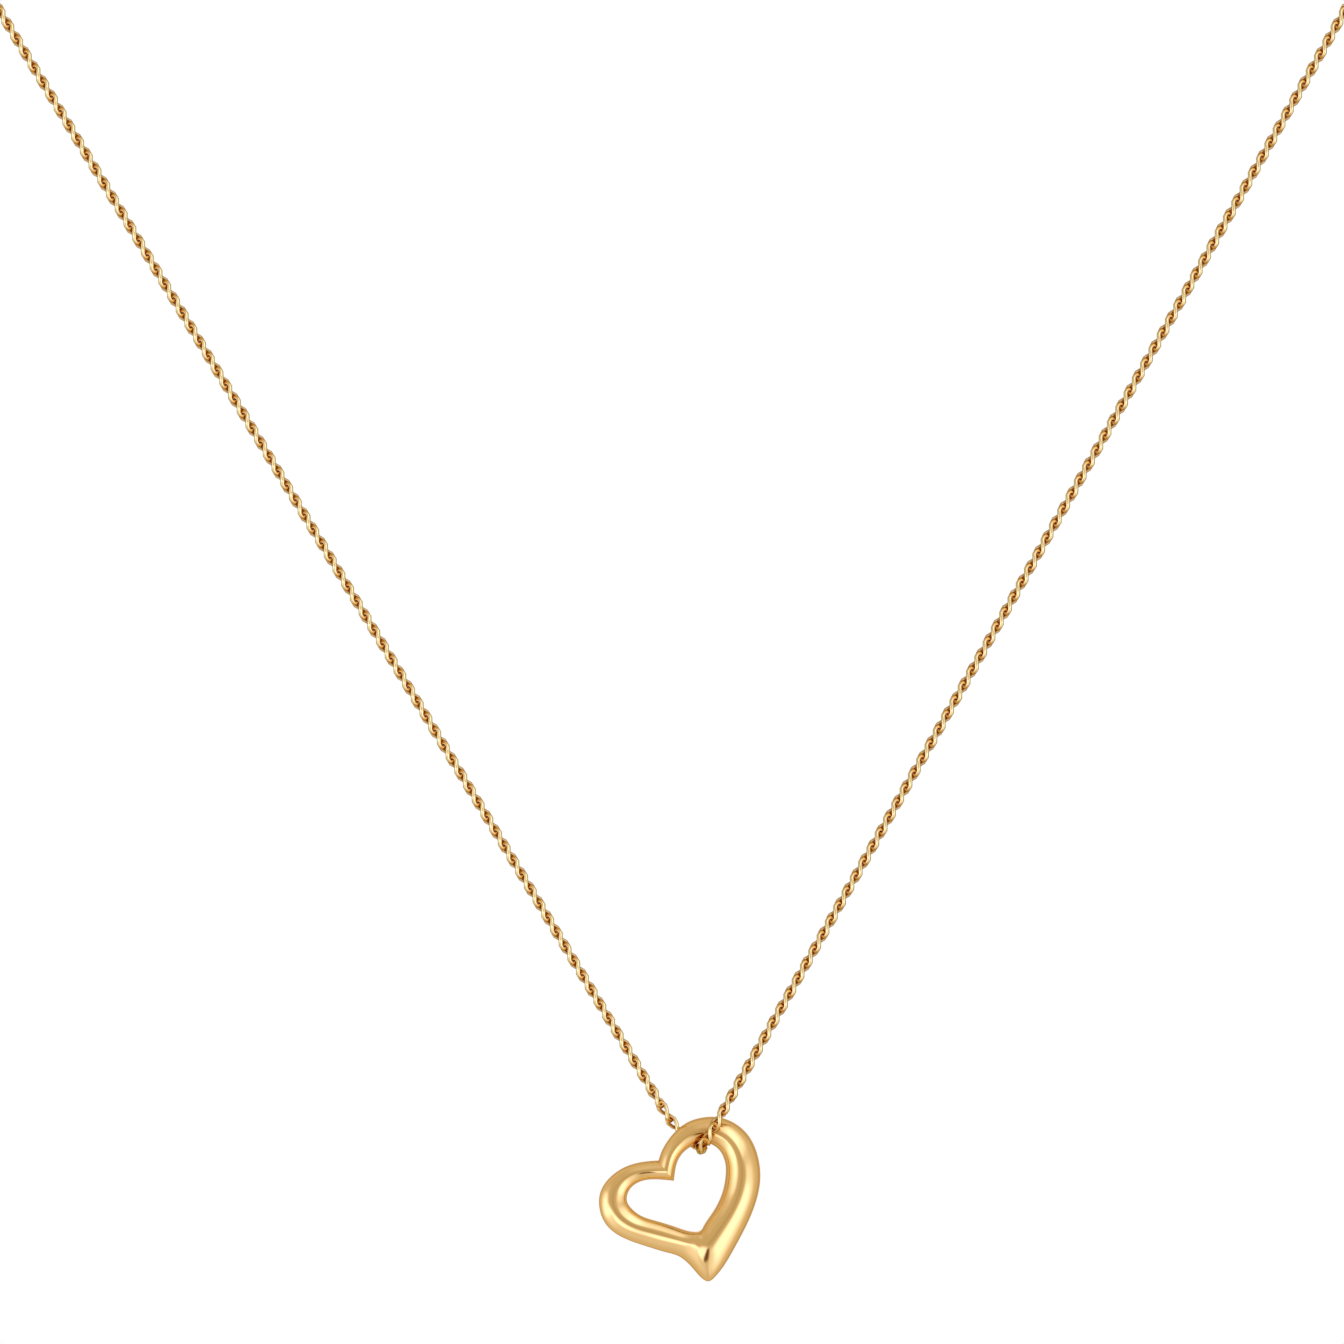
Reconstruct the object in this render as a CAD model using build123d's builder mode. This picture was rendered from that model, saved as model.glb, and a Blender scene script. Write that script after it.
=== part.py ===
from build123d import *
import os
from collections import namedtuple
from math import cos, pi, radians, sin, tan

# Heart pendant on a fine chain, millimetres, +Z up, the front faces -Y.
# The origin is at the nape, on the inner face of the clasp.

# Heart: overall size and where the chain carries it
heart_width = 16.1
heart_height = 16.46
heart_depth = 3.4
hang_x = 2.9
hang_y = -53.5
hang_z = -135.5
seat_gap = 0.12

# Chain: outer size of its links, and the clearance that lets the heart swing
chain_diameter = 1.1
swing_gap = 0.12

# Clasp and rings at the nape
clasp_radius = 2.2
clasp_wire = 1.1
eye_radius = 0.8
eye_wire = 0.6
jump_ring_radius = 1.1
jump_ring_wire = 0.56
end_ring_radius = 1.5
end_ring_wire = 0.6
end_link_radius = 0.75
end_link_wire = 0.56
ring_gap = 0.1

# Fits
chain_radius = chain_diameter / 2
nape_y = clasp_wire / 2
strand_offset = heart_depth / 2 + swing_gap + chain_radius

# Sections of the heart's band, each from its outer edge to its inner edge.
# x and z are shares of heart_width and heart_height from the low left corner
# of the heart's outline, and depth is a share of heart_depth.
# Each section is an oval of band_sides flats.
Section = namedtuple("Section", "name outer_x outer_z inner_x inner_z depth")
band_sides = 16

cleft = Section("cleft", 0.370, 0.735, 0.466, 0.611, 0.66)
bar = Section("bar", 0.649, 0.997, 0.634, 0.847, 0.76)
tip = Section("tip", 0.677, 0.000, 0.614, 0.302, 0.76)

right_half = [
    cleft,
    Section("foot", 0.385, 0.780, 0.473, 0.668, 0.66),
    Section("rise", 0.407, 0.824, 0.488, 0.728, 0.66),
    Section("shoulder", 0.463, 0.899, 0.537, 0.795, 0.68),
    Section("arch", 0.548, 0.966, 0.583, 0.825, 0.72),
    bar,
    Section("crown", 0.798, 0.983, 0.730, 0.814, 0.84),
    Section("turn", 0.929, 0.886, 0.774, 0.753, 0.94),
    Section("limb_top", 0.998, 0.710, 0.788, 0.683, 1.00),
    Section("limb", 0.988, 0.528, 0.773, 0.564, 1.00),
    Section("limb_low", 0.925, 0.358, 0.719, 0.440, 1.00),
    Section("knee", 0.832, 0.185, 0.655, 0.346, 0.96),
    Section("heel", 0.720, 0.026, 0.627, 0.307, 0.82),
    tip,
]
left_half = [
    cleft,
    Section("brow", 0.283, 0.728, 0.345, 0.620, 0.58),
    Section("slope", 0.183, 0.704, 0.258, 0.607, 0.56),
    Section("lobe", 0.075, 0.638, 0.193, 0.561, 0.56),
    Section("side", 0.005, 0.528, 0.173, 0.504, 0.58),
    Section("under", 0.024, 0.379, 0.193, 0.454, 0.59),
    Section("sweep", 0.130, 0.276, 0.255, 0.403, 0.59),
    Section("limb", 0.286, 0.216, 0.345, 0.371, 0.60),
    Section("limb_low", 0.429, 0.174, 0.469, 0.334, 0.62),
    Section("neck", 0.519, 0.139, 0.559, 0.306, 0.67),
    Section("bulge", 0.587, 0.075, 0.593, 0.302, 0.74),
    Section("sole", 0.637, 0.021, 0.604, 0.301, 0.76),
    tip,
]


# The heart hangs by the inner edge of its bar, just under the chain's top
def heart_point(share_x, share_z):
    x = hang_x + (share_x - bar.inner_x) * heart_width
    z = hang_z + chain_radius + seat_gap + (share_z - bar.inner_z) * heart_height
    return Vector(x, hang_y, z)


def outer_point(section):
    return heart_point(section.outer_x, section.outer_z)


def inner_point(section):
    return heart_point(section.inner_x, section.inner_z)


def section_width(section):
    return (outer_point(section) - inner_point(section)).length


# A section lies across the band, its local x outwards and its local y to the back
def section_plane(section):
    outward = outer_point(section) - inner_point(section)
    middle = (outer_point(section) + inner_point(section)) / 2
    return Plane(origin=middle, x_dir=outward, z_dir=outward.cross(Vector(0, 1, 0)))


def section_outline(section):
    angles = [2 * pi * side / band_sides for side in range(band_sides)]
    half_width = section_width(section) / 2
    half_depth = section.depth * heart_depth / 2
    return [(half_width * cos(angle), half_depth * sin(angle)) for angle in angles]


# Rings at the nape, each hooked through its neighbour and drawn apart
eye_x = -(clasp_radius + clasp_wire / 2 + eye_radius)
jump_ring_x = eye_x - eye_radius + (eye_wire + jump_ring_wire) / 2 + ring_gap - jump_ring_radius
left_link_x = jump_ring_x - jump_ring_radius + (jump_ring_wire + end_link_wire) / 2 + ring_gap - end_link_radius
end_ring_x = clasp_radius - (clasp_wire + end_ring_wire) / 2 - ring_gap + end_ring_radius
right_link_x = end_ring_x + end_ring_radius - (end_ring_wire + end_link_wire) / 2 - ring_gap + end_link_radius

# Route of the chain: chosen points round the neck, down the straight strands
# and round the heart's bar, from behind it to the front
neck_left = [(-24.0, 0.4, 0.5), (-47.0, -5.2, 1.0), (-65.0, -18.5, -0.5), (-73.5, -35.5, -5.0)]
neck_right = [(73.5, -35.5, -5.0), (65.0, -18.5, -0.5), (47.0, -5.2, 1.0), (24.0, 0.4, 0.5)]
left_start = Vector(left_link_x - end_link_radius, nape_y, 0)
right_end = Vector(right_link_x + end_link_radius, nape_y, 0)
round_bar = [
    (0.5, hang_y + strand_offset, hang_z + 1.6),
    (hang_x, hang_y + strand_offset, hang_z),
    (hang_x, hang_y - strand_offset, hang_z),
]
chain_route = [
    left_start,
    *neck_left,
    (-72.5, hang_y, -13.0),
    *round_bar,
    (72.2, hang_y, -13.0),
    *neck_right,
    right_end,
]
route_points = [Vector(*point) for point in chain_route]
round_bar_points = [Vector(*point) for point in round_bar]
bar_radius = section_width(bar) / 2 + seat_gap + chain_radius


# Each corner's arc is as large as its runs allow, and those round the bar follow the bar
def corner_radius(before, corner, after):
    if corner in round_bar_points:
        return bar_radius
    run_in = corner - before
    run_out = after - corner
    half_turn = radians(run_in.get_angle(run_out)) / 2
    return 0.45 * min(run_in.length, run_out.length) / tan(half_turn)


corners = zip(route_points, route_points[1:], route_points[2:])
route_radii = [corner_radius(*corner) for corner in corners]

# Heart: two arms lofted from the cleft to the tip
with BuildPart() as heart:
    for half in (right_half, left_half):
        for section in half:
            with BuildSketch(section_plane(section)):
                Polygon(*section_outline(section), align=None)
        loft()

# Chain: a tube of the links' outer size, with a soldered end link at each end
with BuildPart() as chain:
    with BuildLine() as route:
        FilletPolyline(*route_points, radius=route_radii)
    with BuildSketch(Plane(origin=route.line @ 0, z_dir=route.line % 0)):
        Circle(chain_radius)
    sweep(path=route.line)
    for link_x in (left_link_x, right_link_x):
        with Locations(Plane(origin=(link_x, nape_y, 0), z_dir=(0, 1, 0))):
            Torus(end_link_radius, end_link_wire / 2)

# Clasp: a closed ring with a small eye soldered to its side
with BuildPart() as clasp:
    with Locations(Plane(origin=(0, nape_y, 0), z_dir=(0, 1, 0))):
        Torus(clasp_radius, clasp_wire / 2)
    with Locations(Plane(origin=(eye_x, nape_y, 0), z_dir=(0, 1, 0))):
        Torus(eye_radius, eye_wire / 2)

# Jump ring between the eye and the left end link
with BuildPart() as jump_ring:
    with Locations((jump_ring_x, nape_y, 0)):
        Torus(jump_ring_radius, jump_ring_wire / 2)

# End ring that the clasp closes on, through the right end link
with BuildPart() as end_ring:
    with Locations((end_ring_x, nape_y, 0)):
        Torus(end_ring_radius, end_ring_wire / 2)

heart.part.label = "heart"
chain.part.label = "chain"
clasp.part.label = "clasp"
jump_ring.part.label = "jump_ring"
end_ring.part.label = "end_ring"

os.makedirs("parts", exist_ok=True)
export_step(heart.part, "parts/heart.step")
export_step(chain.part, "parts/chain.step")
export_step(clasp.part, "parts/clasp.step")
export_step(jump_ring.part, "parts/jump_ring.step")
export_step(end_ring.part, "parts/end_ring.step")

route_length = sum(edge.length for edge in route.edges())
tube_volume = pi * chain_radius**2 * route_length
balance = heart.part.center(CenterOf.MASS)
print("route radii:", [round(radius, 2) for radius in route_radii])
print("chain length:", round(route_length, 1))
print("tube volume by section and length:", round(tube_volume, 2), "solid:", round(chain.part.volume, 2))
print("heart volume:", round(heart.part.volume, 1))
print("heart's centre from the pivot:", round(balance.X - hang_x, 2), round(balance.Z - hang_z, 2))
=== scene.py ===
from collections import namedtuple
from math import cos, pi, radians, sin

import bmesh
import bpy
import numpy as np
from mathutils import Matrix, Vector


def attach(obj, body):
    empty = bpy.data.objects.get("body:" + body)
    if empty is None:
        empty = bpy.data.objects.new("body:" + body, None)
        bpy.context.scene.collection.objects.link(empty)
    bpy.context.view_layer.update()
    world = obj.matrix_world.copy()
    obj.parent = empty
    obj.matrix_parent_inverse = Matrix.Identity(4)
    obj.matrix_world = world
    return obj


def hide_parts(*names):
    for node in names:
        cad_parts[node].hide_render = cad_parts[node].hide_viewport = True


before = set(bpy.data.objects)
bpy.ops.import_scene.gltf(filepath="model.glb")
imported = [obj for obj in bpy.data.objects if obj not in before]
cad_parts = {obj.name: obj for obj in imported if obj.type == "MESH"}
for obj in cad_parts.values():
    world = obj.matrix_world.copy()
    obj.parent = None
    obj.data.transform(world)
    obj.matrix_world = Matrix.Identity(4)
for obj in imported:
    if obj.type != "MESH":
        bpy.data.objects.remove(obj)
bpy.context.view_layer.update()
scene = bpy.context.scene
MM = 0.001

# Where the heart hangs on the chain, which is also the pivot of its swing
HANG = Vector((2.9, -53.5, -135.5)) * MM

# Camera: straight at the heart's front, 1 m from it, with 134.4 mm in the frame
CAMERA_DISTANCE = 1.0
CAMERA_HEIGHT = -87.83 * MM
FRAME_WIDTH = 134.4 * MM
SENSOR_WIDTH = 36.0

camera = bpy.data.objects.new("camera", bpy.data.cameras.new("camera"))
camera.data.sensor_width = SENSOR_WIDTH
camera.data.lens = SENSOR_WIDTH * CAMERA_DISTANCE / FRAME_WIDTH
camera.location = (0, HANG.y - CAMERA_DISTANCE, CAMERA_HEIGHT)
camera.rotation_euler = (pi / 2, 0, 0)
scene.collection.objects.link(camera)
scene.camera = camera
scene.view_settings.view_transform = "Standard"


def linear(hex_colour):
    """An sRGB hex colour as linear RGBA."""
    shares = [int(hex_colour[at : at + 2], 16) / 255 for at in (1, 3, 5)]
    colour = [
        share / 12.92 if share <= 0.04045 else ((share + 0.055) / 1.055) ** 2.4
        for share in shares
    ]
    return colour + [1.0]


def add_node(tree, kind, inputs=(), **settings):
    """Adds a node with its settings and links.

    An input is a value, another node's socket, or a node, whose first output it takes.
    """
    made = tree.nodes.new(kind)
    for name, value in settings.items():
        setattr(made, name, value)
    for place, value in dict(inputs).items():
        if isinstance(value, bpy.types.Node):
            value = value.outputs[0]
        if isinstance(value, bpy.types.NodeSocket):
            tree.links.new(value, made.inputs[place])
        else:
            made.inputs[place].default_value = value
    return made


# ---------------------------------------------------------------- materials

# A Mix node's sockets for colours go by number, because their names come up twice
MIX_FROM, MIX_TO, MIX_RESULT = 6, 7, 2
# How open a place is where the painted shade in the hollows is full, and where it has
# cleared
OPEN_FROM, OPEN_FULL = 0.40, 1.0
OPEN_SAMPLES = 8
# How near a link's end the painted shade on its bends begins, and where it is full, at
# 1 for the end
BEND_FROM, BEND_FULL = 0.50, 0.95
# Nearly all of the noise lies between these two levels
NOISE_LOW, NOISE_HIGH = 0.3, 0.7


def gold_plate(
    name,
    face,
    edge,
    hollow_shade,
    hollow_shade_reach,
    roughness,
    haze,
    haze_size,
    ripple_size,
    ripple_height,
    bend_shade=None,
):
    """Yellow gold plate, with the faint haze and ripple that its polishing leaves.

    Its colours are those of its face and of an edge seen aslant, with painted shade in
    the hollows and on the links' bends. The haze adds to the roughness in soft patches.
    """
    material = bpy.data.materials.new(name)
    material.use_nodes = True
    tree = material.node_tree
    tree.nodes.clear()
    place = add_node(tree, "ShaderNodeTexCoord").outputs["Object"]

    gold = linear(face)
    # Painted shade on the links' bends: the colour darkens towards the bend shade near
    # each link's end
    if bend_shade:
        bend = add_node(tree, "ShaderNodeAttribute", attribute_name="bend")
        bent = add_node(
            tree,
            "ShaderNodeMapRange",
            {
                "Value": bend.outputs["Fac"],
                "From Min": BEND_FROM,
                "From Max": BEND_FULL,
            },
        )
        gold = add_node(
            tree,
            "ShaderNodeMix",
            {"Factor": bent, MIX_FROM: gold, MIX_TO: linear(bend_shade)},
            data_type="RGBA",
        ).outputs[MIX_RESULT]
    # Painted shade in the hollows: the colour darkens towards the hollow shade where
    # the ambient occlusion finds little open room
    openness = add_node(
        tree,
        "ShaderNodeAmbientOcclusion",
        {"Distance": hollow_shade_reach},
        samples=OPEN_SAMPLES,
    ).outputs["AO"]
    clear = add_node(
        tree,
        "ShaderNodeMapRange",
        {"Value": openness, "From Min": OPEN_FROM, "From Max": OPEN_FULL},
    )
    gold = add_node(
        tree,
        "ShaderNodeMix",
        {"Factor": clear, MIX_FROM: linear(hollow_shade), MIX_TO: gold},
        data_type="RGBA",
    ).outputs[MIX_RESULT]

    patches = add_node(
        tree,
        "ShaderNodeTexNoise",
        {"Vector": place, "Scale": 1 / haze_size, "Detail": 3.0},
    )
    shine = add_node(
        tree,
        "ShaderNodeMapRange",
        {
            "Value": patches,
            "From Min": NOISE_LOW,
            "From Max": NOISE_HIGH,
            "To Min": roughness,
            "To Max": roughness + haze,
        },
    )
    waves = add_node(
        tree,
        "ShaderNodeTexNoise",
        {"Vector": place, "Scale": 1 / ripple_size, "Detail": 1.0},
    )
    surface = add_node(
        tree,
        "ShaderNodeBump",
        {"Height": waves, "Distance": ripple_height, "Strength": 1.0},
    )
    shader = add_node(
        tree,
        "ShaderNodeBsdfPrincipled",
        {
            "Base Color": gold,
            "Metallic": 1.0,
            "Specular Tint": linear(edge),
            "Roughness": shine,
            "Normal": surface,
        },
    )
    add_node(tree, "ShaderNodeOutputMaterial", {"Surface": shader})
    return material


# Cast silver, plated with yellow gold and mirror polished: clear reflections that run
# along the band, very slightly wavy every 4 mm where the polishing wheel rode over it.
# The wheel's own lines, hundredths of a millimetre apart, are too fine to show, so they
# are drawn as soft patches of haze 3 mm across.
HEART_GOLD = gold_plate(
    "gold_plate_mirror_polished",
    face="#F3D488",
    edge="#FFE4C0",
    # Painted shade in the hollows round the band
    hollow_shade="#D9A050",
    hollow_shade_reach=1.5 * MM,
    roughness=0.07,
    haze=0.05,
    haze_size=3 * MM,
    ripple_size=4 * MM,
    ripple_height=0.004 * MM,
)
# Drawn wire, twisted into links, tumbled and plated with yellow gold: bright but a
# little softer, with painted shade on the bends and in the hollows between the links.
# The tumbler's dents and scuffs are finer than the render shows, so they are drawn as
# ripples 1 mm long and patches of haze 1.5 mm across.
CHAIN_GOLD = gold_plate(
    "gold_plate_tumbled_wire",
    face="#F2E6A0",
    edge="#D8BE78",
    # Painted shade in the hollows between the links
    hollow_shade="#AA5000",
    hollow_shade_reach=0.9 * MM,
    roughness=0.14,
    haze=0.06,
    haze_size=1.5 * MM,
    ripple_size=1 * MM,
    ripple_height=0.002 * MM,
    # Painted shade on the links' bends
    bend_shade="#E2B04C",
)

# ---------------------------------------------------------------- helpers


def piece(name, mesh, material, body, node):
    """Adds a finished piece, which stands for its CAD node and moves with its body."""
    mesh.polygons.foreach_set("use_smooth", [True] * len(mesh.polygons))
    mesh.polygons.foreach_set("material_index", [0] * len(mesh.polygons))
    mesh.materials.clear()
    mesh.materials.append(material)
    made = bpy.data.objects.new(name, mesh)
    scene.collection.objects.link(made)
    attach(made, body)
    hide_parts(node)


def closed_tube(rows):
    """Faces of a tube that closes on itself, for rows of points of one length."""
    count, sides = len(rows), len(rows[0])
    faces = []
    for row in range(count):
        here, after = row * sides, (row + 1) % count * sides
        for side in range(sides):
            beside = (side + 1) % sides
            faces.append((here + side, here + beside, after + beside, after + side))
    return faces


def outwards(mesh):
    """Turns every face outwards."""
    shell = bmesh.new()
    shell.from_mesh(mesh)
    bmesh.ops.recalc_face_normals(shell, faces=shell.faces)
    shell.to_mesh(mesh)
    shell.free()


def tubes_mesh(name, tubes):
    """One mesh of several closed tubes, each given as rows of points in millimetres."""
    points, faces = [], []
    for rows in tubes:
        start = len(points)
        points += [point * MM for row in rows for point in row]
        for face in closed_tube(rows):
            faces.append(tuple(start + corner for corner in face))
    mesh = bpy.data.meshes.new(name)
    mesh.from_pydata(points, [], faces)
    outwards(mesh)
    return mesh


# ---------------------------------------------------------------- heart

HEART_WIDTH = 16.1
HEART_HEIGHT = 16.46
HEART_DEPTH = 3.4
# The bar's inner edge, as shares of the heart's width and height, and its height over
# the middle of the chain that carries it
BAR_X, BAR_Z = 0.634, 0.847
BAR_GAP = 0.67

# The band's sections from the cleft round the right lobe to the tip, then round the
# left lobe back to the cleft: outer edge x and z, inner edge x and z, and depth, as
# shares of the heart's width, height and depth, and how far the crest lies from the
# middle towards the inner edge, as a share of half the section's width
BAND = [
    (0.370, 0.735, 0.466, 0.611, 0.66, 0.00),  # cleft
    (0.385, 0.780, 0.473, 0.668, 0.66, 0.00),
    (0.407, 0.824, 0.488, 0.728, 0.66, 0.00),
    (0.463, 0.899, 0.537, 0.795, 0.68, 0.00),
    (0.548, 0.966, 0.583, 0.825, 0.72, 0.00),
    (0.649, 0.997, 0.634, 0.847, 0.76, 0.03),  # bar, which the chain passes under
    (0.798, 0.983, 0.730, 0.814, 0.84, 0.05),
    (0.929, 0.886, 0.774, 0.753, 0.94, 0.03),
    (0.998, 0.710, 0.788, 0.683, 1.00, 0.03),
    (0.988, 0.528, 0.773, 0.564, 1.00, 0.06),
    (0.925, 0.358, 0.719, 0.440, 1.00, 0.13),
    (0.832, 0.185, 0.655, 0.346, 0.99, 0.22),
    (0.720, 0.026, 0.627, 0.307, 0.95, 0.42),
    (0.677, 0.000, 0.614, 0.302, 0.92, 0.50),  # tip
    (0.637, 0.021, 0.604, 0.301, 0.90, 0.47),
    (0.587, 0.075, 0.593, 0.302, 0.86, 0.42),
    (0.519, 0.139, 0.559, 0.306, 0.77, 0.30),
    (0.429, 0.174, 0.469, 0.334, 0.68, 0.23),
    (0.286, 0.216, 0.345, 0.371, 0.61, 0.20),
    (0.130, 0.276, 0.255, 0.403, 0.59, 0.15),
    (0.024, 0.379, 0.193, 0.454, 0.59, 0.08),
    (0.005, 0.528, 0.173, 0.504, 0.58, 0.00),
    (0.075, 0.638, 0.193, 0.561, 0.56, -0.08),
    (0.183, 0.704, 0.258, 0.607, 0.56, -0.08),
    (0.283, 0.728, 0.345, 0.620, 0.58, 0.00),
    (0.370, 0.735, 0.466, 0.611, 0.66, 0.00),  # cleft again
]
BAND_SIDES = 48
BAND_STEP = 0.15


def band_numbers(outer_x, outer_z, inner_x, inner_z, depth, crest):
    """A section's outer edge, inner edge and half depth in mm, and its crest."""
    bar_place = Vector((-BAR_X * HEART_WIDTH, 0, BAR_GAP - BAR_Z * HEART_HEIGHT))
    low_left = HANG / MM + bar_place
    outer = low_left + Vector((outer_x * HEART_WIDTH, 0, outer_z * HEART_HEIGHT))
    inner = low_left + Vector((inner_x * HEART_WIDTH, 0, inner_z * HEART_HEIGHT))
    return [*outer, *inner, depth * HEART_DEPTH / 2, crest]


def spline_rows(rows, step):
    """Rows of numbers on a natural cubic spline through given ones, a step apart."""
    rows = np.array(rows)
    middles = (rows[:, 0:3] + rows[:, 3:6]) / 2
    spans = np.linalg.norm(np.diff(middles, axis=0), axis=1)
    at = np.concatenate([[0], np.cumsum(spans)])
    slopes = np.diff(rows, axis=0) / spans[:, None]
    matrix = np.eye(len(rows))
    right = np.zeros_like(rows)
    for row in range(1, len(rows) - 1):
        before, after = spans[row - 1], spans[row]
        matrix[row, row - 1 : row + 2] = before, 2 * (before + after), after
        right[row] = 6 * (slopes[row] - slopes[row - 1])
    bend = np.linalg.solve(matrix, right)
    places = np.linspace(0, at[-1], round(at[-1] / step) + 1)
    span = np.clip(np.searchsorted(at, places, side="right") - 1, 0, len(spans) - 1)
    width = spans[span][:, None]
    past = (places - at[span])[:, None]
    left = width - past
    return (
        (bend[span] * left**3 + bend[span + 1] * past**3) / (6 * width)
        + (rows[span] / width - bend[span] * width / 6) * left
        + (rows[span + 1] / width - bend[span + 1] * width / 6) * past
    )


def band_section(numbers):
    """Points round one oval section of the band, its crest drawn to the inner edge."""
    outer, inner = Vector(numbers[0:3]), Vector(numbers[3:6])
    half_depth, crest = numbers[6:]
    points = []
    for side in range(BAND_SIDES):
        turn = 2 * pi * side / BAND_SIDES
        across, deep = cos(turn), sin(turn)
        place = across - crest * deep**2
        flat = (outer + inner) / 2 + (outer - inner) / 2 * place
        points.append(flat + Vector((0, half_depth * deep, 0)))
    return points


# The last row is the cleft again, where the band closes on its first row
band_rows = spline_rows([band_numbers(*section) for section in BAND], BAND_STEP)[:-1]
heart_mesh = tubes_mesh("mirror_heart", [[band_section(row) for row in band_rows]])
# The two lobes meet in a crease at the cleft, which is the band's first row of points
crease = set(range(BAND_SIDES))
for edge in heart_mesh.edges:
    edge.use_edge_sharp = set(edge.vertices) <= crease
piece("mirror_heart", heart_mesh, HEART_GOLD, "pendant", "heart")

# ---------------------------------------------------------------- clasp and rings

# A ring of round wire at the nape, in millimetres: its place along x, its radius to the
# middle of the wire, and the wire. The hole of an upright one faces the front, and that
# of a flat one faces up.
Ring = namedtuple("Ring", "x radius wire upright")
CLASP = Ring(0, 2.2, 1.1, upright=True)
CLASP_EYE = Ring(-3.55, 0.8, 0.6, upright=True)
JUMP_RING = Ring(-4.77, 1.1, 0.56, upright=False)
END_RING = Ring(2.75, 1.5, 0.6, upright=False)
LEFT_END_LINK = Ring(-5.96, 0.75, 0.56, upright=True)
RIGHT_END_LINK = Ring(4.32, 0.75, 0.56, upright=True)
NAPE_Y = 0.55
RING_STEPS = 72
RING_SIDES = 24


def ring_points(ring):
    """Rows of points round a ring's wire."""
    centre = Vector((ring.x, NAPE_Y, 0))
    axis = Vector((0, -1, 0) if ring.upright else (0, 0, 1))
    half_wire = ring.wire / 2
    rows = []
    for step in range(RING_STEPS):
        turn = 2 * pi * step / RING_STEPS
        flat = (cos(turn), sin(turn), 0)
        out = Vector((cos(turn), 0, sin(turn)) if ring.upright else flat)
        row = []
        for side in range(RING_SIDES):
            roll = 2 * pi * side / RING_SIDES
            outer = out * (ring.radius + half_wire * cos(roll))
            row.append(centre + outer + axis * (half_wire * sin(roll)))
        rows.append(row)
    return rows


NAPE_PIECES = [
    ("ring_clasp", [CLASP, CLASP_EYE], "clasp"),
    ("clasp_jump_ring", [JUMP_RING], "jump_ring"),
    ("clasp_end_ring", [END_RING], "end_ring"),
]
for name, rings, node in NAPE_PIECES:
    ring_mesh = tubes_mesh(name, [ring_points(ring) for ring in rings])
    piece(name, ring_mesh, CHAIN_GOLD, "necklace", node)

# ---------------------------------------------------------------- chain

# Points of the chain's route in millimetres, as the CAD has it, with one more near each
# end of the two long strands, which the photograph shows straight
ROUTE = [
    (-6.71, NAPE_Y, 0),
    (-24.0, 0.4, 0.5),
    (-47.0, -5.2, 1.0),
    (-65.0, -18.5, -0.5),
    (-73.5, -35.5, -5.0),
    (-72.5, -53.5, -13.0),
    (-62.32, -53.17, -29.86),
    (-2.91, -51.24, -128.25),
    (0.5, -51.13, -133.9),
    (2.9, -51.13, -135.5),
    (2.9, -55.87, -135.5),
    (6.16, -55.76, -129.74),
    (62.49, -53.83, -30.16),
    (72.2, -53.5, -13.0),
    (73.5, -35.5, -5.0),
    (65.0, -18.5, -0.5),
    (47.0, -5.2, 1.0),
    (24.0, 0.4, 0.5),
    (5.07, NAPE_Y, 0),
]
# A link's sizes and turns. The links change hand at the heart's bar. The last few
# before it take on the bar's turn, and the first few past it settle out of another.
LINK_SIZES = {
    "Link pitch": 1.686 * MM,
    "Half length": 1.07 * MM,
    "Half width": 0.41 * MM,
    "Squareness": 2.6,
    "Wire diameter": 0.44 * MM,
    "Twist": radians(150),
    "End room": 0.55 * MM,
    "Roll": radians(90),
    "Hand change": 0.0,
    "Settling turn": radians(30),
    "Settling links": 4.0,
    "Bar turn": radians(-40),
    "Bar turn begins": -10.0 * MM,
    "Bar turn full": -7.0 * MM,
}
LINK_POINTS = 16
WIRE_SIDES = 6
# Trim Curve's inputs for lengths go by number, because their names come up twice
TRIM_START, TRIM_END = 4, 5


def chain_route():
    """The chain's route as one smooth spline."""
    data = bpy.data.curves.new("chain_route", "CURVE")
    data.dimensions = "3D"
    data.resolution_u = 48
    spline = data.splines.new("NURBS")
    spline.points.add(len(ROUTE) - 1)
    for point, place in zip(spline.points, ROUTE):
        point.co = (*[along * MM for along in place], 1)
    spline.order_u = 3
    spline.use_endpoint_u = True
    route = bpy.data.objects.new("chain_route", data)
    scene.collection.objects.link(route)
    return route


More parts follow.
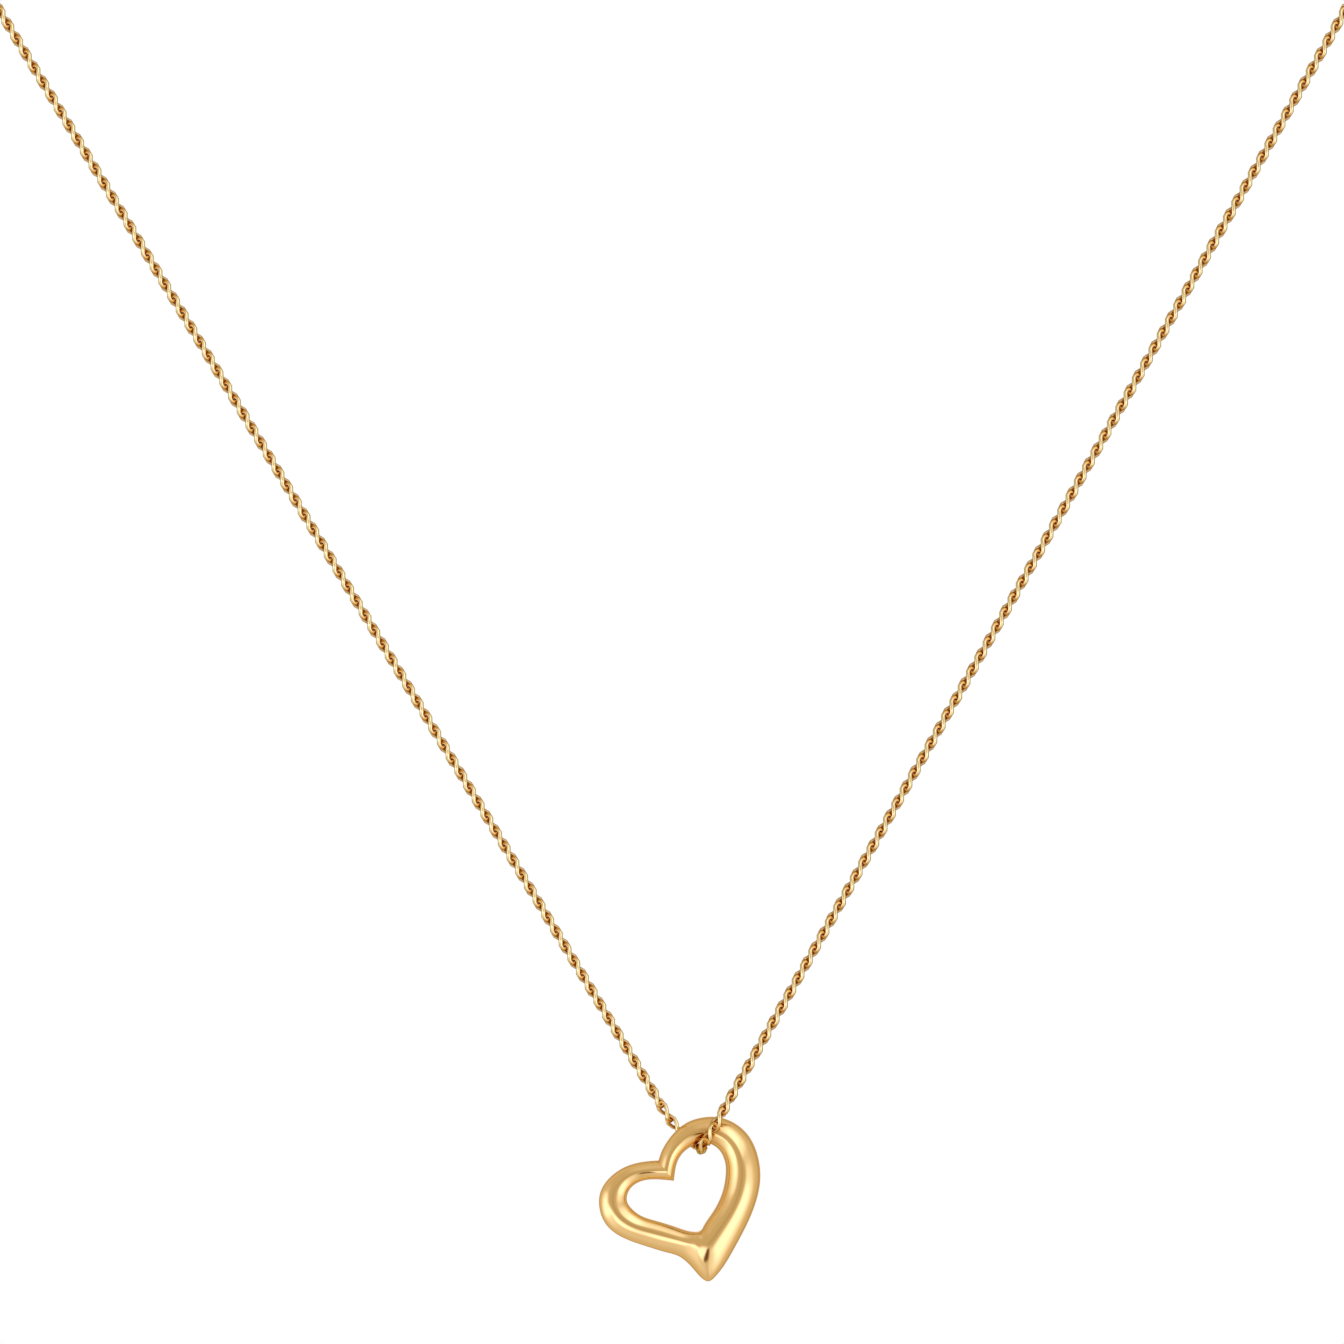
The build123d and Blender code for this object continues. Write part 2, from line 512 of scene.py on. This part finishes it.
def link_tree():
    """Geometry Nodes: twisted wire links, one hooked in the next, along a spline."""
    tree = bpy.data.node_groups.new("twisted_links", "GeometryNodeTree")
    new_socket = tree.interface.new_socket
    new_socket("Geometry", in_out="INPUT", socket_type="NodeSocketGeometry")
    for name, value in LINK_SIZES.items():
        size = new_socket(name, in_out="INPUT", socket_type="NodeSocketFloat")
        size.default_value = value
    new_socket("Metal", in_out="INPUT", socket_type="NodeSocketMaterial")
    new_socket("Geometry", in_out="OUTPUT", socket_type="NodeSocketGeometry")
    given = add_node(tree, "NodeGroupInput").outputs

    # One link for each hand: a rounded oblong of wire, twisted along its length
    links = []
    for hand in (1, -1):
        loop = add_node(
            tree,
            "GeometryNodeCurvePrimitiveCircle",
            {"Resolution": LINK_POINTS, "Radius": 1.0},
        )
        place = add_node(tree, "GeometryNodeInputPosition")
        split = add_node(tree, "ShaderNodeSeparateXYZ", {0: place}).outputs
        power = add_node(
            tree, "ShaderNodeMath", {0: 2.0, 1: given["Squareness"]}, operation="DIVIDE"
        )
        oblong = []
        for part in (split["X"], split["Y"]):
            sign = add_node(tree, "ShaderNodeMath", {0: part}, operation="SIGN")
            size = add_node(tree, "ShaderNodeMath", {0: part}, operation="ABSOLUTE")
            size = add_node(
                tree, "ShaderNodeMath", {0: size, 1: power}, operation="POWER"
            )
            size = add_node(
                tree, "ShaderNodeMath", {0: sign, 1: size}, operation="MULTIPLY"
            )
            oblong.append(size)
        along, across = oblong
        length = add_node(
            tree,
            "ShaderNodeMath",
            {0: along, 1: given["Half length"]},
            operation="MULTIPLY",
        )
        width = add_node(
            tree,
            "ShaderNodeMath",
            {0: across, 1: given["Half width"]},
            operation="MULTIPLY",
        )
        flat = add_node(tree, "ShaderNodeCombineXYZ", {"X": length, "Z": width})
        eased = add_node(
            tree, "ShaderNodeMath", {0: along, 1: pi / 2}, operation="MULTIPLY"
        )
        eased = add_node(tree, "ShaderNodeMath", {0: eased}, operation="SINE")
        turn = add_node(
            tree, "ShaderNodeMath", {0: eased, 1: given["Twist"]}, operation="MULTIPLY"
        )
        turn = add_node(
            tree, "ShaderNodeMath", {0: turn, 1: 0.5 * hand}, operation="MULTIPLY"
        )
        twisted = add_node(
            tree,
            "ShaderNodeVectorRotate",
            {"Vector": flat, "Angle": turn},
            rotation_type="X_AXIS",
        )
        # The metal's painted shade on the bends reads how near each place is to a bend,
        # which is stored while the link is still a plain circle
        bend = add_node(tree, "ShaderNodeMath", {0: along}, operation="ABSOLUTE")
        marked = add_node(
            tree,
            "GeometryNodeStoreNamedAttribute",
            {"Geometry": loop, "Name": "bend", "Value": bend},
        )
        bent = add_node(
            tree, "GeometryNodeSetPosition", {"Geometry": marked, "Position": twisted}
        )
        half_wire = add_node(
            tree,
            "ShaderNodeMath",
            {0: given["Wire diameter"], 1: 0.5},
            operation="MULTIPLY",
        )
        wire = add_node(
            tree,
            "GeometryNodeCurvePrimitiveCircle",
            {"Resolution": WIRE_SIDES, "Radius": half_wire},
        )
        link = add_node(
            tree, "GeometryNodeCurveToMesh", {"Curve": bent, "Profile Curve": wire}
        )
        links.append(add_node(tree, "GeometryNodeGeometryToInstance", {0: link}))
    # What is linked last is joined first, so that the first hand keeps the first place
    both = add_node(tree, "GeometryNodeJoinGeometry")
    for link in reversed(links):
        tree.links.new(link.outputs[0], both.inputs[0])

    # Places for the links, a pitch apart, with the outer side of the neck known at each
    outward = add_node(
        tree, "GeometryNodeSetCurveNormal", {"Curve": given["Geometry"]}, mode="Z_UP"
    )
    whole = add_node(tree, "GeometryNodeCurveLength", {"Curve": outward})
    last = add_node(
        tree, "ShaderNodeMath", {0: whole, 1: given["End room"]}, operation="SUBTRACT"
    )
    trimmed = add_node(
        tree,
        "GeometryNodeTrimCurve",
        {"Curve": outward, TRIM_START: given["End room"], TRIM_END: last},
        mode="LENGTH",
    )
    run = add_node(
        tree, "ShaderNodeMath", {0: last, 1: given["End room"]}, operation="SUBTRACT"
    )
    pitches = add_node(
        tree, "ShaderNodeMath", {0: run, 1: given["Link pitch"]}, operation="DIVIDE"
    )
    pitches = add_node(tree, "ShaderNodeMath", {0: pitches}, operation="ROUND")
    count = add_node(tree, "ShaderNodeMath", {0: pitches, 1: 1.0}, operation="ADD")
    spaced = add_node(
        tree,
        "GeometryNodeResampleCurve",
        {"Curve": trimmed, "Count": count},
        mode="COUNT",
    )

    # Each link lies along the route, its roll set against the outer side
    tangent = add_node(tree, "GeometryNodeInputTangent")
    normal = add_node(tree, "GeometryNodeInputNormal")
    inward = add_node(
        tree, "ShaderNodeVectorMath", {0: normal, "Scale": -1.0}, operation="SCALE"
    )
    facing = add_node(
        tree,
        "FunctionNodeAxesToRotation",
        {"Primary Axis": tangent, "Secondary Axis": inward},
        primary_axis="X",
        secondary_axis="Y",
    )
    reached = add_node(tree, "GeometryNodeSplineParameter").outputs["Length"]
    past = add_node(
        tree,
        "ShaderNodeMath",
        {0: reached, 1: given["Hand change"]},
        operation="SUBTRACT",
    )
    past_bar = add_node(
        tree, "ShaderNodeMath", {0: past, 1: 0.0}, operation="GREATER_THAN"
    )
    before_bar = add_node(
        tree, "ShaderNodeMath", {0: 1.0, 1: past_bar}, operation="SUBTRACT"
    )

    # Just past the bar, where the links change hand, they turn step by step to their
    # roll, and the last few before it are turned a little, as the photograph shows
    settled = add_node(
        tree,
        "ShaderNodeMath",
        {0: given["Link pitch"], 1: given["Settling links"]},
        operation="MULTIPLY",
    )
    settling = add_node(
        tree,
        "ShaderNodeMapRange",
        {
            "Value": past,
            "From Min": 0.0,
            "From Max": settled,
            "To Min": given["Settling turn"],
            "To Max": 0.0,
        },
    )
    turning = add_node(
        tree,
        "ShaderNodeMapRange",
        {
            "Value": past,
            "From Min": given["Bar turn begins"],
            "From Max": given["Bar turn full"],
            "To Min": 0.0,
            "To Max": given["Bar turn"],
        },
    )
    settling, turning = [
        add_node(tree, "ShaderNodeMath", {0: turn, 1: strand}, operation="MULTIPLY")
        for turn, strand in ((settling, past_bar), (turning, before_bar))
    ]
    extra = add_node(
        tree, "ShaderNodeMath", {0: settling, 1: turning}, operation="ADD"
    )
    roll = add_node(
        tree, "ShaderNodeMath", {0: extra, 1: given["Roll"]}, operation="SUBTRACT"
    )
    spin = add_node(
        tree, "FunctionNodeAxisAngleToRotation", {"Axis": (1, 0, 0), "Angle": roll}
    )
    turned = add_node(
        tree, "FunctionNodeRotateRotation", {0: facing, 1: spin}, rotation_space="LOCAL"
    )
    hung = add_node(
        tree,
        "GeometryNodeInstanceOnPoints",
        {
            "Points": spaced,
            "Instance": both,
            "Pick Instance": True,
            "Instance Index": past_bar,
            "Rotation": turned,
        },
    )
    real = add_node(tree, "GeometryNodeRealizeInstances", {0: hung})
    metal = add_node(
        tree, "GeometryNodeSetMaterial", {"Geometry": real, "Material": given["Metal"]}
    )
    add_node(tree, "NodeGroupOutput", {0: metal})
    return tree


def made_mesh(carrier, tree, values):
    """The plain mesh that a Geometry Nodes tree makes of a curve with these inputs."""
    modifier = carrier.modifiers.new(tree.name, "NODES")
    modifier.node_group = tree
    inputs = [item for item in tree.interface.items_tree if item.in_out == "INPUT"]
    sockets = {item.name: item.identifier for item in inputs}
    for name, value in values.items():
        modifier[sockets[name]] = value
    bpy.context.view_layer.update()
    depsgraph = bpy.context.evaluated_depsgraph_get()
    evaluated = carrier.evaluated_get(depsgraph)
    mesh = bpy.data.meshes.new_from_object(evaluated, depsgraph=depsgraph)
    carrier.modifiers.remove(modifier)
    bpy.data.objects.remove(carrier)
    return mesh


def route_length_to(route, place):
    """How far along the route's spline its nearest point to a place is."""
    line = bpy.data.meshes.new_from_object(route)
    points = [vertex.co.copy() for vertex in line.vertices]
    bpy.data.meshes.remove(line)
    nearest = min(range(len(points)), key=lambda at: (points[at] - place).length)
    spans = zip(points[:nearest], points[1 : nearest + 1])
    return sum((after - before).length for before, after in spans)


route = chain_route()
link_values = {
    **LINK_SIZES,
    "Hand change": route_length_to(route, HANG),
    "Metal": CHAIN_GOLD,
}
links_mesh = made_mesh(route, link_tree(), link_values)
# The soldered round link at each end of the chain
end_links = [ring_points(ring) for ring in (LEFT_END_LINK, RIGHT_END_LINK)]
whole_chain = bmesh.new()
whole_chain.from_mesh(links_mesh)
whole_chain.from_mesh(tubes_mesh("end_links", end_links))
whole_chain.to_mesh(links_mesh)
whole_chain.free()
piece("twisted_link_chain", links_mesh, CHAIN_GOLD, "necklace", "chain")

# ---------------------------------------------------------------- studio

WHITE = "#FFFFFF"
FLOOR_HEIGHT = -0.7
FLOOR_SIZE = 8.0

# Matt white paper under a light of its own: plain white, without a shadow or a seam.
# It throws no light on the metal, which has only the tent to reflect.
paper = bpy.data.materials.new("white_paper_evenly_lit")
paper.use_nodes = True
paper.node_tree.nodes.clear()
glow = add_node(
    paper.node_tree, "ShaderNodeEmission", {"Color": linear(WHITE), "Strength": 1.0}
)
add_node(paper.node_tree, "ShaderNodeOutputMaterial", {"Surface": glow})

half = FLOOR_SIZE / 2
corners = [(-half, -half), (half, -half), (half, half), (-half, half)]
floor_mesh = bpy.data.meshes.new("floor")
floor_mesh.from_pydata([(x, y, FLOOR_HEIGHT) for x, y in corners], [], [(0, 1, 2, 3)])
floor_mesh.materials.append(paper)
floor = bpy.data.objects.new("floor", floor_mesh)
scene.collection.objects.link(floor)
floor.visible_glossy = False
floor.visible_diffuse = False

# A light tent. Its warm paper is dull, and soft boxes of cooler daylight shine through
# it at the right, the left and the upper right, with a small one low down, a little to
# the left. The camera's brown stand hides a short stretch of the tent below the lens.
# Levels stand by the angle from the lens, and by the angle round it from the right over
# the top, both in degrees. Each side's reach says how near the lens its box comes: at 2
# it starts twice as near as at 1.
TENT_MIDDLE = Vector((-0.05, -0.996, -0.06))
PAPER_COLOUR = "#FFE9DB"
PAPER_FROM_LENS = [
    (0, 0.54),
    (4, 0.57),
    (11, 0.66),
    (25, 0.66),
    (60, 0.66),
    (100, 0.78),
    (135, 0.56),
    (180, 0.90),
]
BOX_COLOUR = "#C4CCFF"
BOX_GAIN = 1.6
BOX_NEAR_LENS = [(0, 0.0), (11, 0.0), (26, 1.0), (180, 1.0)]
BOX_FAR_FROM_LENS = [(0, 1.0), (45, 1.0), (98, 0.0)]
BOX_ROUND_LENS = [
    (-180, 1.05),
    (-160, 1.20),
    (-140, 0.50),
    (-120, 0.28),
    (-100, 0.22),
    (-80, 0.12),
    (-60, 0.45),
    (-40, 1.05),
    (-20, 1.20),
    (0, 0.65),
    (20, 0.30),
    (40, 0.85),
    (60, 1.20),
    (80, 0.60),
    (100, 0.15),
    (120, 0.02),
    (140, 0.03),
    (155, 0.20),
    (168, 0.75),
    (180, 1.05),
]
BOX_REACH = [
    (-180, 0.6),
    (-135, 1.5),
    (-90, 1.5),
    (-45, 0.85),
    (0, 0.7),
    (45, 1.1),
    (90, 0.75),
    (135, 0.5),
    (180, 0.6),
]
LOW_BOX = Vector((-0.187, -0.927, -0.325))
LOW_BOX_FROM_MIDDLE = [(0, 0.8), (4, 0.8), (14, 0.0), (180, 0.0)]
STAND_COLOUR = "#714E17"
STAND_FROM_LENS = [(0, 0.0), (12, 0.0), (17, 1.0), (29, 1.0), (34, 0.0), (180, 0.0)]
STAND_ROUND_LENS = [
    (-180, 0.0),
    (-105, 0.0),
    (-99, 1.0),
    (-80, 1.0),
    (-70, 0.0),
    (180, 0.0),
]

world = bpy.data.worlds.new("light_tent")
scene.world = world
world.use_nodes = True
sky = world.node_tree
sky.nodes.clear()


def graded(angle, stops):
    """The level that these stops, in degrees, give at an angle."""
    lowest, highest = stops[0][0], stops[-1][0]
    share = add_node(
        sky,
        "ShaderNodeMapRange",
        {"Value": angle, "From Min": radians(lowest), "From Max": radians(highest)},
    )
    ramp = add_node(sky, "ShaderNodeValToRGB", {"Fac": share})
    ramp.color_ramp.interpolation = "EASE"
    elements = ramp.color_ramp.elements
    elements.remove(elements[1])
    for at, (degrees, level) in enumerate(stops):
        place = (degrees - lowest) / (highest - lowest)
        stop = elements.new(place) if at else elements[0]
        stop.position = place
        stop.color = (level, level, level, 1)
    return ramp


# Where a ray goes, as its angle from the lens and its angle round it
direction = add_node(sky, "ShaderNodeTexCoord").outputs["Generated"]
to_front = TENT_MIDDLE.rotation_difference(Vector((0, -1, 0))).to_euler()
turned = add_node(
    sky,
    "ShaderNodeVectorRotate",
    {"Vector": direction, "Rotation": to_front},
    rotation_type="EULER_XYZ",
)
parts = add_node(sky, "ShaderNodeSeparateXYZ", {0: turned}).outputs
ahead = add_node(sky, "ShaderNodeMath", {0: parts["Y"], 1: -1.0}, operation="MULTIPLY")
from_lens = add_node(sky, "ShaderNodeMath", {0: ahead}, operation="ARCCOSINE")
round_lens = add_node(
    sky, "ShaderNodeMath", {0: parts["Z"], 1: parts["X"]}, operation="ARCTAN2"
)

# The soft boxes round the lens, between their near and far edges, and the low one
reach = graded(round_lens, BOX_REACH)
reached = add_node(
    sky, "ShaderNodeMath", {0: from_lens, 1: reach}, operation="MULTIPLY"
)
boxes = graded(reached, BOX_NEAR_LENS)
for level in (graded(from_lens, BOX_FAR_FROM_LENS), graded(round_lens, BOX_ROUND_LENS)):
    boxes = add_node(sky, "ShaderNodeMath", {0: boxes, 1: level}, operation="MULTIPLY")
to_low_box = add_node(
    sky, "ShaderNodeVectorMath", {0: turned, 1: LOW_BOX}, operation="DOT_PRODUCT"
).outputs["Value"]
from_low_box = add_node(sky, "ShaderNodeMath", {0: to_low_box}, operation="ARCCOSINE")
low_box = graded(from_low_box, LOW_BOX_FROM_MIDDLE)
boxes = add_node(sky, "ShaderNodeMath", {0: boxes, 1: low_box}, operation="ADD")

# The stand, and what it leaves clear of the paper and the boxes
stand_sides = graded(round_lens, STAND_ROUND_LENS)
stand_ends = graded(from_lens, STAND_FROM_LENS)
stand = add_node(
    sky, "ShaderNodeMath", {0: stand_sides, 1: stand_ends}, operation="MULTIPLY"
)
clear = add_node(sky, "ShaderNodeMath", {0: 1.0, 1: stand}, operation="SUBTRACT")
for level in (clear, BOX_GAIN):
    boxes = add_node(sky, "ShaderNodeMath", {0: boxes, 1: level}, operation="MULTIPLY")
tent_paper = graded(from_lens, PAPER_FROM_LENS)
tent_paper = add_node(
    sky, "ShaderNodeMath", {0: tent_paper, 1: clear}, operation="MULTIPLY"
)

# The metal sees all three lights added up, and the camera sees a white backdrop
paper_light, box_light, stand_light = [
    add_node(sky, "ShaderNodeBackground", {"Color": linear(colour), "Strength": level})
    for colour, level in (
        (PAPER_COLOUR, tent_paper),
        (BOX_COLOUR, boxes),
        (STAND_COLOUR, stand),
    )
]
tent = add_node(sky, "ShaderNodeAddShader", {0: paper_light, 1: box_light})
tent = add_node(sky, "ShaderNodeAddShader", {0: tent, 1: stand_light})
backdrop = add_node(
    sky, "ShaderNodeBackground", {"Color": linear(WHITE), "Strength": 1.0}
)
seen = add_node(sky, "ShaderNodeLightPath").outputs["Is Camera Ray"]
both_skies = add_node(sky, "ShaderNodeMixShader", {0: seen, 1: tent, 2: backdrop})
add_node(sky, "ShaderNodeOutputWorld", {"Surface": both_skies})
